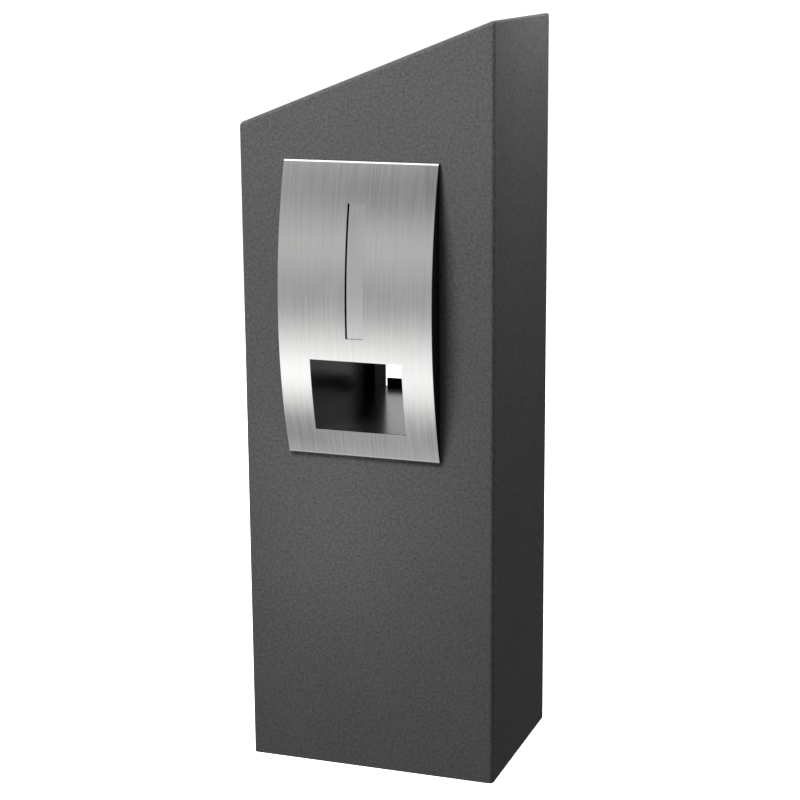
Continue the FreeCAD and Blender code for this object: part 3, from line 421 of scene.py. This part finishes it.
finishes = {
    "render": makeRenderFinish(),
    "stainless": makeSteelFinish(),
    "black_sheet": makeBlackFinish("satinBlackCoat", blackLook["satin"], blackLook["satinShine"]),
    "galvanised": makeGalvanisedFinish(),
    "zinc": makeGrainFinish("brightZinc", (0.66, 0.67, 0.66, 1), rough=0.3, grain=1500.0,
                            contrast=0.12, depth=0.00005, metallic=1.0),
    "rubber": makeGrainFinish("blackRubber", (0.018, 0.018, 0.018, 1), rough=0.75, grain=1400.0,
                              contrast=0.4, depth=0.0002),
    "lock_chrome": makeGrainFinish("lockChrome", (0.78, 0.78, 0.79, 1), rough=0.12, grain=900.0,
                                   contrast=0.05, depth=0.00002, metallic=1.0),
    "nylon": makeGrainFinish("greyNylon", (0.22, 0.22, 0.23, 1), rough=0.5, grain=1200.0,
                             contrast=0.15, depth=0.0001),
    "stainless_fasteners": makeSteelFinish("satinFasteners", rough=0.33, pitch=2400.0,
                                           colour=(0.6, 0.6, 0.59, 1), depth=0.00002),
    "gloss": makeBlackFinish("glossBlackCoat", blackLook["gloss"], blackLook["glossShine"]),
    "flap": makeSteelFinish("flapSteel", steelLook["flapRough"]),
    "door": makeSteelFinish("doorSteel", steelLook["doorRough"]),
}
print("finishes made")


view = {"azimuth": 19.658, "elevation": 13.111, "roll": -0.428, "lens": 90.83,
        "distance": 3.7069, "aim": (0.0013, 0.0, 0.6539), "farEnd": 200}


def makeCamera():
    turn = (Matrix.Rotation(radians(view["azimuth"]), 4, "Z")
            @ Matrix.Rotation(radians(90 - view["elevation"]), 4, "X")
            @ Matrix.Rotation(radians(view["roll"]), 4, "Z"))
    camera = bpy.data.objects.new("camera", bpy.data.cameras.new("camera"))
    scene.collection.objects.link(camera)
    camera.data.lens = view["lens"]
    camera.data.clip_end = view["farEnd"]
    back = turn.to_3x3() @ Vector((0, 0, 1))
    camera.matrix_world = Matrix.Translation(Vector(view["aim"]) + back * view["distance"]) @ turn
    scene.camera = camera


# how bright the room looks in polished metal, from straight down to straight up
studio = {
    "roomLeft": [(0.0, 0.9), (0.12, 0.7), (0.19, 0.1), (0.225, 0.9), (0.27, 1.95), (0.31, 1.7),
                 (0.38, 0.75), (0.425, 0.3), (0.47, 0.45), (0.54, 0.8), (0.62, 0.58),
                 (0.69, 0.5), (0.755, 0.55), (0.815, 2.2), (1.0, 2.2)],
    "roomRight": [(0.0, 0.6), (0.15, 0.4), (0.19, 0.65), (0.23, 1.3), (0.27, 1.6), (0.31, 1.4),
                  (0.38, 0.75), (0.44, 0.42), (0.52, 0.6), (0.57, 0.85), (0.62, 0.45),
                  (0.66, 0.03), (0.77, 0.1), (0.83, 2.2), (1.0, 2.2)],
    "roomBehind": [(0.0, 0.4), (0.28, 0.4), (0.37, 0.75), (0.46, 0.42), (0.53, 0.7), (0.58, 1.0),
                   (0.8, 2.2), (1.0, 2.2)],
    "leftEnds": -0.38, "rightStarts": -0.33, "behindStarts": -0.1, "behindFull": 0.3,
    "fill": 0.19, "backdrop": 1.3, "floorGlow": 1.0, "floorColour": 0.8, "floorSize": 60,
}

lamps = {
    "highLamp": {"place": (-0.8, -2.2, 3.4), "aim": (0, 0, 1.0), "size": 1.2, "power": 176},
    "frontLamp": {"place": (-0.3, -1.6, 2.6), "aim": (0, -0.17, 1.3), "size": 1.0, "power": 36},
    "sideLamp": {"place": (0.55, 0.15, 1.75), "aim": (0.23, 0, 1.3), "size": 0.3, "power": 9.2},
    "lowLamp": {"place": (-2.5, -1.2, 1.2), "aim": (0, 0, 0.7), "size": 1.0, "power": 6},
    "backLamp": {"place": (-1.4, 3.2, 2.8), "aim": (0, 0, 0.9), "size": 1.6, "power": 150},
    "stripLamp": {"place": (-0.06, -0.42, 0.5), "aim": (-0.06, -0.17, 0.5), "size": 0.08,
                  "tall": 0.4, "power": 0.42},
}


def roomRamp(build, up, levels):
    ramp = build.add("ShaderNodeValToRGB", {0: up})
    points = ramp.color_ramp.elements
    while len(points) < len(levels):
        points.new(0.5)
    for point, (spot, level) in zip(points, levels):
        point.position = spot
        point.color = (level, level, level, 1)
    return ramp.outputs[0]


def makeWorld():
    world = bpy.data.worlds.new("studio")
    scene.world = world
    world.use_nodes = True
    tree = world.node_tree
    tree.nodes.clear()
    build = Nodes(tree)
    ray = build.add("ShaderNodeLightPath").outputs
    way = build.add("ShaderNodeTexCoord").outputs["Generated"]
    part = build.add("ShaderNodeSeparateXYZ", {0: way}).outputs
    up = build.math("ADD", build.math("MULTIPLY", part[2], 0.5), 0.5)
    flat = build.math("SQRT", build.math("SUBTRACT", 1.0, build.math("POWER", part[2], 2.0)))
    across = build.math("DIVIDE", part[0], flat)
    side = build.spread(across, studio["leftEnds"], studio["rightStarts"])
    front = build.blend(side, roomRamp(build, up, studio["roomLeft"]),
                        roomRamp(build, up, studio["roomRight"]))
    behind = build.spread(part[1], studio["behindStarts"], studio["behindFull"])
    room = build.blend(behind, front, roomRamp(build, up, studio["roomBehind"]))
    soft = (studio["fill"],) * 3 + (1,)
    seen = build.blend(ray["Is Glossy Ray"], soft, room)  # polish shows the room, the rest a fill
    seen = build.blend(ray["Is Camera Ray"], seen, (studio["backdrop"],) * 3 + (1,))
    shade = build.add("ShaderNodeBackground", {"Color": seen, "Strength": 1.0})
    output = build.add("ShaderNodeOutputWorld")
    tree.links.new(shade.outputs[0], output.inputs[0])


def makeFloor():
    floor = startPiece("floor", bpy.ops.mesh.primitive_plane_add, size=studio["floorSize"])
    leaveEdit()
    material = bpy.data.materials.new("paleFloor")
    material.use_nodes = True
    tree = material.node_tree
    tree.nodes.clear()
    build = Nodes(tree)
    level = studio["floorColour"]
    dull = build.add("ShaderNodeBsdfDiffuse", {"Color": (level, level, level, 1)})
    glow = build.add("ShaderNodeEmission", {"Strength": studio["floorGlow"]})
    both = build.add("ShaderNodeAddShader", {0: dull.outputs[0], 1: glow.outputs[0]})
    build.add("ShaderNodeOutputMaterial", {0: both.outputs[0]})
    floor.data.materials.append(material)
    floor.visible_glossy = False
    floor.visible_diffuse = False


def makeLamp(name, place, aim, size, power, tall=0.0):
    lamp = bpy.data.objects.new(name, bpy.data.lights.new(name, "AREA"))
    scene.collection.objects.link(lamp)
    lamp.data.shape = "RECTANGLE"
    lamp.data.size = size
    lamp.data.size_y = tall or size
    lamp.data.energy = power
    lamp.location = place
    lamp.rotation_euler = (Vector(aim) - Vector(place)).to_track_quat("-Z", "Y").to_euler()
    lamp.visible_camera = False
    lamp.visible_glossy = False


makeCamera()
makeWorld()
makeFloor()
for lampName, settings in lamps.items():
    makeLamp(lampName, **settings)
print("studio set")


pillar = {"lowSide": 1.170, "highSide": 1.350, "wall": 0.012, "edge": 0.007, "steps": 6,
          "gapRound": 0.003, "gapSpare": 0.0015, "gapEdge": 0.0012}


def makePillar():
    low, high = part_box("pillar_shell")
    piece = startBox("castPillar", (low.x, low.y, 0), (high.x, high.y, pillar["lowSide"]))
    pick("VERT", lambda spot: spot.z > past and spot.x > 0)
    bpy.ops.transform.translate(value=(0, 0, pillar["highSide"] - pillar["lowSide"]))
    pick("FACE", lambda centre, normal: normal.z < -squarely)
    bpy.ops.mesh.delete(type="ONLY_FACE")
    leaveEdit()
    finishWith(piece, "SOLIDIFY", thickness=pillar["wall"], offset=-1, use_even_offset=True)
    bpy.ops.object.mode_set(mode="EDIT")

    def outer(spot):
        return near(abs(spot.x), high.x) and near(abs(spot.y), high.y)

    def outerEdge(a, b):
        return outer(a) and outer(b) and max(a.z, b.z) > past
    pick("EDGE", outerEdge)
    bpy.ops.mesh.bevel(offset=pillar["edge"], segments=pillar["steps"], affect="EDGES")
    leaveEdit()
    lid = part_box("box_top")
    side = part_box("box_side_left")
    margin = pillar["gapRound"] + pillar["gapSpare"]
    gapLow = (lid[0].x - margin, low.y - past, side[0].z - pillar["gapRound"])
    gapHigh = (lid[1].x + margin, high.y + past, side[1].z + pillar["gapRound"])
    cutWith(piece, gapLow, gapHigh)
    bpy.ops.object.mode_set(mode="EDIT")

    slack = 0.001

    def onGap(spot):
        return ((near(spot.x, gapLow[0]) or near(spot.x, gapHigh[0])
                 or near(spot.z, gapLow[2]) or near(spot.z, gapHigh[2]))
                and near(abs(spot.y), high.y) and gapLow[0] - slack < spot.x < gapHigh[0] + slack)
    pick("EDGE", lambda a, b: onGap(a) and onGap(b))
    bpy.ops.mesh.bevel(offset=pillar["gapEdge"], segments=2, affect="EDGES")
    leaveEdit()
    settle(piece, finishes["render"], "render", "root", "pillar_shell")
    print("pillar made")


fascia = {"bulge": 0.0415, "gauge": 0.0015, "bend": 0.0065, "steps": 96,
          "bendSteps": 12, "cutEdge": 0.00025, "slotWidth": 0.033, "slotLow": 0.8085,
          "slotTall": 0.232, "paperWidth": 0.169, "paperLow": 0.638, "paperTall": 0.130}


def bowOf(low, high):  # the bow's radius, how far back its centre lies, and at what height
    half = (high.z - low.z) / 2
    radius = (half ** 2 + fascia["bulge"] ** 2) / (2 * fascia["bulge"])
    return radius, low.y + radius, (low.z + high.z) / 2


def makeFascia():
    low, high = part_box("fascia_plate")
    radius, arcBack, middle = bowOf(low, high)
    half = (high.z - low.z) / 2
    bend = fascia["bend"]
    bendUp = half - bend                       # height of the bend's centre above the middle
    bendBack = arcBack - sqrt((radius - bend) ** 2 - bendUp ** 2)
    sweep = asin(bendUp / (radius - bend))     # half angle of the bow, up to each bend
    # one edge at the lower end of the bow, spun up round the bow's centre
    startY = arcBack - radius * cos(sweep)
    startZ = middle - radius * sin(sweep)
    width = high.x - low.x
    piece = startPiece("bowedFascia", bpy.ops.mesh.primitive_plane_add, size=width,
                       location=((low.x + high.x) / 2, startY + width / 2, startZ))
    pick("VERT", lambda spot: spot.y > startY + width / 2)
    bpy.ops.mesh.delete(type="VERT")
    bpy.ops.mesh.select_all(action="SELECT")
    bpy.ops.mesh.spin(steps=fascia["steps"], angle=2 * sweep, center=(0, arcBack, middle),
                      axis=(1, 0, 0))
    for end in (1, -1):
        def atEnd(a, b, end=end):
            return near(a.z, middle + end * radius * sin(sweep)) and near(b.z, a.z)
        pick("EDGE", atEnd)
        bpy.ops.mesh.spin(steps=fascia["bendSteps"], angle=pi / 2 - sweep,
                          center=(0, bendBack, middle + end * bendUp), axis=(end, 0, 0))

        def atTip(a, b, end=end):
            return near(a.z, middle + end * half, hair) and near(b.z, a.z, hair)
        pick("EDGE", atTip)
        bpy.ops.mesh.extrude_region_move(
            TRANSFORM_OT_translate={"value": (0, high.y - bendBack, 0)})
    bpy.ops.mesh.select_all(action="SELECT")
    bpy.ops.mesh.remove_doubles(threshold=hair)
    leaveEdit()
    finishWith(piece, "SOLIDIFY", thickness=fascia["gauge"], offset=-1, use_even_offset=True)
    centre = (low.x + high.x) / 2
    for across, bottom, tall in (("slotWidth", "slotLow", "slotTall"),
                                 ("paperWidth", "paperLow", "paperTall")):
        reach = fascia[across] / 2
        cutWith(piece, (centre - reach, low.y - past, fascia[bottom]),
                (centre + reach, high.y + past, fascia[bottom] + fascia[tall]))
    softenEdges(piece, fascia["cutEdge"])
    settle(piece, finishes["stainless"], "stainless", "root", "fascia_plate")
    print("fascia made")


flap = {"gauge": 0.0015, "gap": 0.0008, "edge": 0.0002, "steps": 40, "knuckle": 0.004,
        "bore": 0.00155, "knuckleLong": 0.020, "knucklePitch": 0.170, "web": 0.0015}


def makeFlap():
    radius, arcBack, middle = bowOf(*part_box("fascia_plate"))
    radius -= fascia["gauge"] + flap["gap"]
    low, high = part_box("slot_flap")
    hinge = next(joint for joint in frame["joints"] if joint["name"] == "flap_hinge")
    pin, axis = Vector(hinge["pos_m"]), Vector(hinge["axis"]).normalized()
    start, end = (asin((level - middle) / radius) for level in (low.z, high.z))
    width = pin.x - low.x
    startY = arcBack - radius * cos(start)
    leaf = startPiece("sprungFlap", bpy.ops.mesh.primitive_plane_add, size=width,
                      location=(low.x + width / 2, startY + width / 2, low.z))
    pick("VERT", lambda spot: spot.y > startY + width / 2)
    bpy.ops.mesh.delete(type="VERT")
    bpy.ops.mesh.select_all(action="SELECT")
    bpy.ops.mesh.spin(steps=flap["steps"], angle=end - start, center=(0, arcBack, middle),
                      axis=(1, 0, 0))
    leaveEdit()
    finishWith(leaf, "SOLIDIFY", thickness=flap["gauge"], offset=-1)
    softenEdges(leaf, flap["edge"])
    extras = []
    for side in (-1, 1):
        spot = pin + axis * side * flap["knucklePitch"] / 2
        half = flap["knuckleLong"] / 2
        bore, outer = flap["bore"], flap["knuckle"]
        rings = [(bore, -half), (outer, -half), (outer, half), (bore, half), (bore, -half)]
        extras.append(turnPiece("knuckle", spot, axis, rings, closed=True))
        skin = arcBack - sqrt(radius ** 2 - (spot.z - middle) ** 2) + flap["gauge"] / 2
        deep = spot.y - outer / 2 - skin
        web = startPiece("web", bpy.ops.mesh.primitive_cube_add, size=1,
                         location=(spot.x - flap["web"] / 2 - bore, skin + deep / 2, spot.z),
                         rotation=(facing(-axis).x, 0, 0),
                         scale=(flap["web"], deep, flap["knuckleLong"]))
        bpy.ops.mesh.bevel(offset=flap["edge"], segments=2, affect="EDGES")
        leaveEdit()
        extras.append(web)
    joinPieces(leaf, *extras)
    settle(leaf, finishes["flap"], "stainless", "flap", "slot_flap")
    print("flap made")


rearPlate = {"corner": 0.008, "cornerSteps": 8, "edge": 0.0003, "paperWide": 0.169,
             "paperLow": 0.638, "paperTall": 0.130, "jamb": 0.025, "doorLow": 0.800,
             "doorTop": 1.060}


def makeRearPlate():
    low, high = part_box("rear_frame")
    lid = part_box("box_top")
    piece = startBox("rearPlate", low, high)
    pick("EDGE", lambda a, b: not near(a.y, b.y))
    bpy.ops.mesh.bevel(offset=rearPlate["corner"], segments=rearPlate["cornerSteps"],
                       affect="EDGES")
    leaveEdit()
    centre = (low.x + high.x) / 2
    reach = rearPlate["paperWide"] / 2
    cutWith(piece, (centre - reach, low.y - past, rearPlate["paperLow"]),
            (centre + reach, high.y + past, rearPlate["paperLow"] + rearPlate["paperTall"]))
    reach = (lid[1].x - lid[0].x) / 2 + fascia["gauge"] - rearPlate["jamb"]
    cutWith(piece, (centre - reach, low.y - past, rearPlate["doorLow"]),
            (centre + reach, high.y + past, rearPlate["doorTop"]))
    softenEdges(piece, rearPlate["edge"])
    settle(piece, finishes["stainless"], "stainless", "root", "rear_frame")
    print("rear plate made")


door = {"gauge": 0.0015, "corner": 0.004, "cornerSteps": 6, "fold": 0.0022, "foldSteps": 5,
        "lockHole": 0.0097, "sealWide": 0.006, "sealRound": 0.0018}


def makeDoor():
    low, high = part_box("mail_door")
    piece = startBox("doorPan", low, high)
    pick("EDGE", lambda a, b: not near(a.y, b.y))
    bpy.ops.mesh.bevel(offset=door["corner"], segments=door["cornerSteps"], affect="EDGES")
    pick("EDGE", lambda a, b: near(a.y, high.y) and near(b.y, high.y))
    bpy.ops.mesh.bevel(offset=door["fold"], segments=door["foldSteps"], affect="EDGES")
    pick("FACE", lambda centre, normal: normal.y < -squarely)
    bpy.ops.mesh.delete(type="ONLY_FACE")
    leaveEdit()
    finishWith(piece, "SOLIDIFY", thickness=door["gauge"], offset=-1, use_even_offset=True)
    cutRound(piece, middleOf("lock_barrel"), (0, 1, 0), door["lockHole"], past)
    settle(piece, finishes["door"], "stainless", "door", "mail_door")
    low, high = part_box("door_seal")
    wide = door["sealWide"]
    ring = startBox("doorSeal", low, high)
    leaveEdit()
    cutWith(ring, (low.x + wide, low.y - past, low.z + wide),
            (high.x - wide, high.y + past, high.z - wide))
    bpy.ops.object.mode_set(mode="EDIT")
    pick("EDGE", lambda a, b: near(a.y, low.y) and near(b.y, low.y))
    bpy.ops.mesh.bevel(offset=door["sealRound"], segments=4, affect="EDGES")
    leaveEdit()
    settle(ring, finishes["rubber"], "rubber", "door", "door_seal")
    print("door made")


def middleOf(node):
    low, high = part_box(node)
    return (low + high) / 2


lock = {"barrel": 0.0095, "bezel": 0.0115, "bezelRise": 0.002, "bore": 0.00608, "plug": 0.006,
        "keyWide": 0.0012, "keyTall": 0.0065, "keyDeep": 0.004, "ease": 0.0005, "roundness": 0.3}


def makeLock():
    low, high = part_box("lock_barrel")
    spot = middleOf("lock_barrel")
    spot.y = low.y
    long = high.y - low.y
    body, bezel, bore, ease = lock["barrel"], lock["bezel"], lock["bore"], lock["ease"]
    seat = long - lock["bezelRise"]
    rings = [(bore, 0), (body - ease, 0), (body, ease), (body, seat), (bezel, seat),
             (bezel, seat + ease), (bezel - ease, seat + 2 * ease), (bezel - 3 * ease, long),
             (bore + 2 * ease, long), (bore, long - ease), (bore, 0)]
    barrel = turnPiece("lockBarrel", spot, (0, 1, 0), rings, sides=64, closed=True)
    settle(barrel, finishes["lock_chrome"], "lock_chrome", "door", "lock_barrel")
    low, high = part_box("lock_plug")
    long = high.y - low.y
    radius = lock["plug"]
    soft = lock["roundness"] * ease
    rings = [(radius, 0), (radius, long - ease), (radius - soft, long - soft),
             (radius - ease, long)]
    plugPiece = turnPiece("lockPlug", (spot.x, low.y, spot.z), (0, 1, 0), rings,
                           sides=64)
    wide, tall = lock["keyWide"] / 2, lock["keyTall"] / 2
    cutWith(plugPiece, (spot.x - wide, high.y - lock["keyDeep"], spot.z - tall),
            (spot.x + wide, high.y + past, spot.z + tall))
    settle(plugPiece, finishes["lock_chrome"], "lock_chrome", "lock", "lock_plug")
    print("lock made")


rearScrew = {"head": 0.00475, "rise": 0.0028, "shank": 0.0025, "shankLong": 0.012,
             "socket": 0.00173, "socketDeep": 0.0018, "levels": (0.700, 0.900, 1.068),
             "brim": 0.15, "crown": 0.42, "top": 0.5, "domeSteps": 5, "domeTurn": 15}


def makeRearScrews():
    low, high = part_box("rear_screws")
    head, rise, shank = rearScrew["head"], rearScrew["rise"], rearScrew["shank"]
    seat = Vector((low.x + head, high.y - rise, rearScrew["levels"][0]))
    brim, crown = rearScrew["brim"], rearScrew["crown"]
    rings = [(shank, -rearScrew["shankLong"]), (shank, 0), (head, 0), (head, rise * brim)]
    for step in range(1, rearScrew["domeSteps"] + 1):  # the domed head
        turn = radians(rearScrew["domeTurn"] * step)
        rings.append((head * (crown + (1 - crown) * cos(turn)),
                      rise * (brim + (1 - brim) * sin(turn))))
    rings.append((head * rearScrew["top"], rise))
    first = turnPiece("rearScrew", seat, (0, 1, 0), rings)
    cutRound(first, seat + Vector((0, rise, 0)), (0, 1, 0), rearScrew["socket"],
             2 * rearScrew["socketDeep"], sides=6)
    across = high.x - low.x - 2 * head
    spots = [(side * across, 0, level - seat.z)
             for side in (0, 1) for level in rearScrew["levels"]]
    for count, spot in enumerate(spots, start=1):
        screw = copyPiece(first, f"rearScrew{count}", Matrix.Translation(spot))
        settle(screw, finishes["stainless_fasteners"], "stainless_fasteners", "root",
               "rear_screws")
    bpy.data.objects.remove(first)
    print("rear screws made")


hingeRivet = {"head": 0.003, "rise": 0.001, "shank": 0.0016, "long": 0.0035, "pair": 0.0244,
              "dome": [(0.97, 0.3), (0.8, 0.72), (0.5, 0.95), (0.2, 1)]}  # shares of head and rise


def makeHingeRivets():
    low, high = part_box("hinge_rivets")
    head, rise, shank = hingeRivet["head"], hingeRivet["rise"], hingeRivet["shank"]
    seat = Vector(((low.x + high.x) / 2, high.y - rise, low.z + head))
    rings = [(shank, -hingeRivet["long"]), (shank, 0), (head, 0)]
    rings += [(head * wide, rise * tall) for wide, tall in hingeRivet["dome"]]
    first = turnPiece("hingeRivet", seat, (0, 1, 0), rings, sides=24)
    full = high.z - low.z - 2 * head
    pair = hingeRivet["pair"]
    for count, lift in enumerate((0, pair, full - pair, full), start=1):
        rivet = copyPiece(first, f"hingeRivet{count}", Matrix.Translation((0, 0, lift)))
        settle(rivet, finishes["stainless_fasteners"], "stainless_fasteners", "root",
               "hinge_rivets")
    bpy.data.objects.remove(first)
    print("hinge rivets made")


makePillar()
makeFascia()
makeFlap()
makeRearPlate()
makeDoor()
makeLock()
makeRearScrews()
makeHingeRivets()


def dressNodes():  # gives each CAD node the finish of its slot
    slots = {part["node"]: part["material_slot"] for part in frame["record"]["subparts"]}
    glossy = ("newspaper_tray", "newspaper_floor")
    for name, thing in frame["nodes"].items():
        material = finishes["gloss" if name in glossy else slots[name]]
        if not thing.data.materials:
            thing.data.materials.append(material)
        for spot in thing.material_slots:
            spot.material = material


dressNodes()
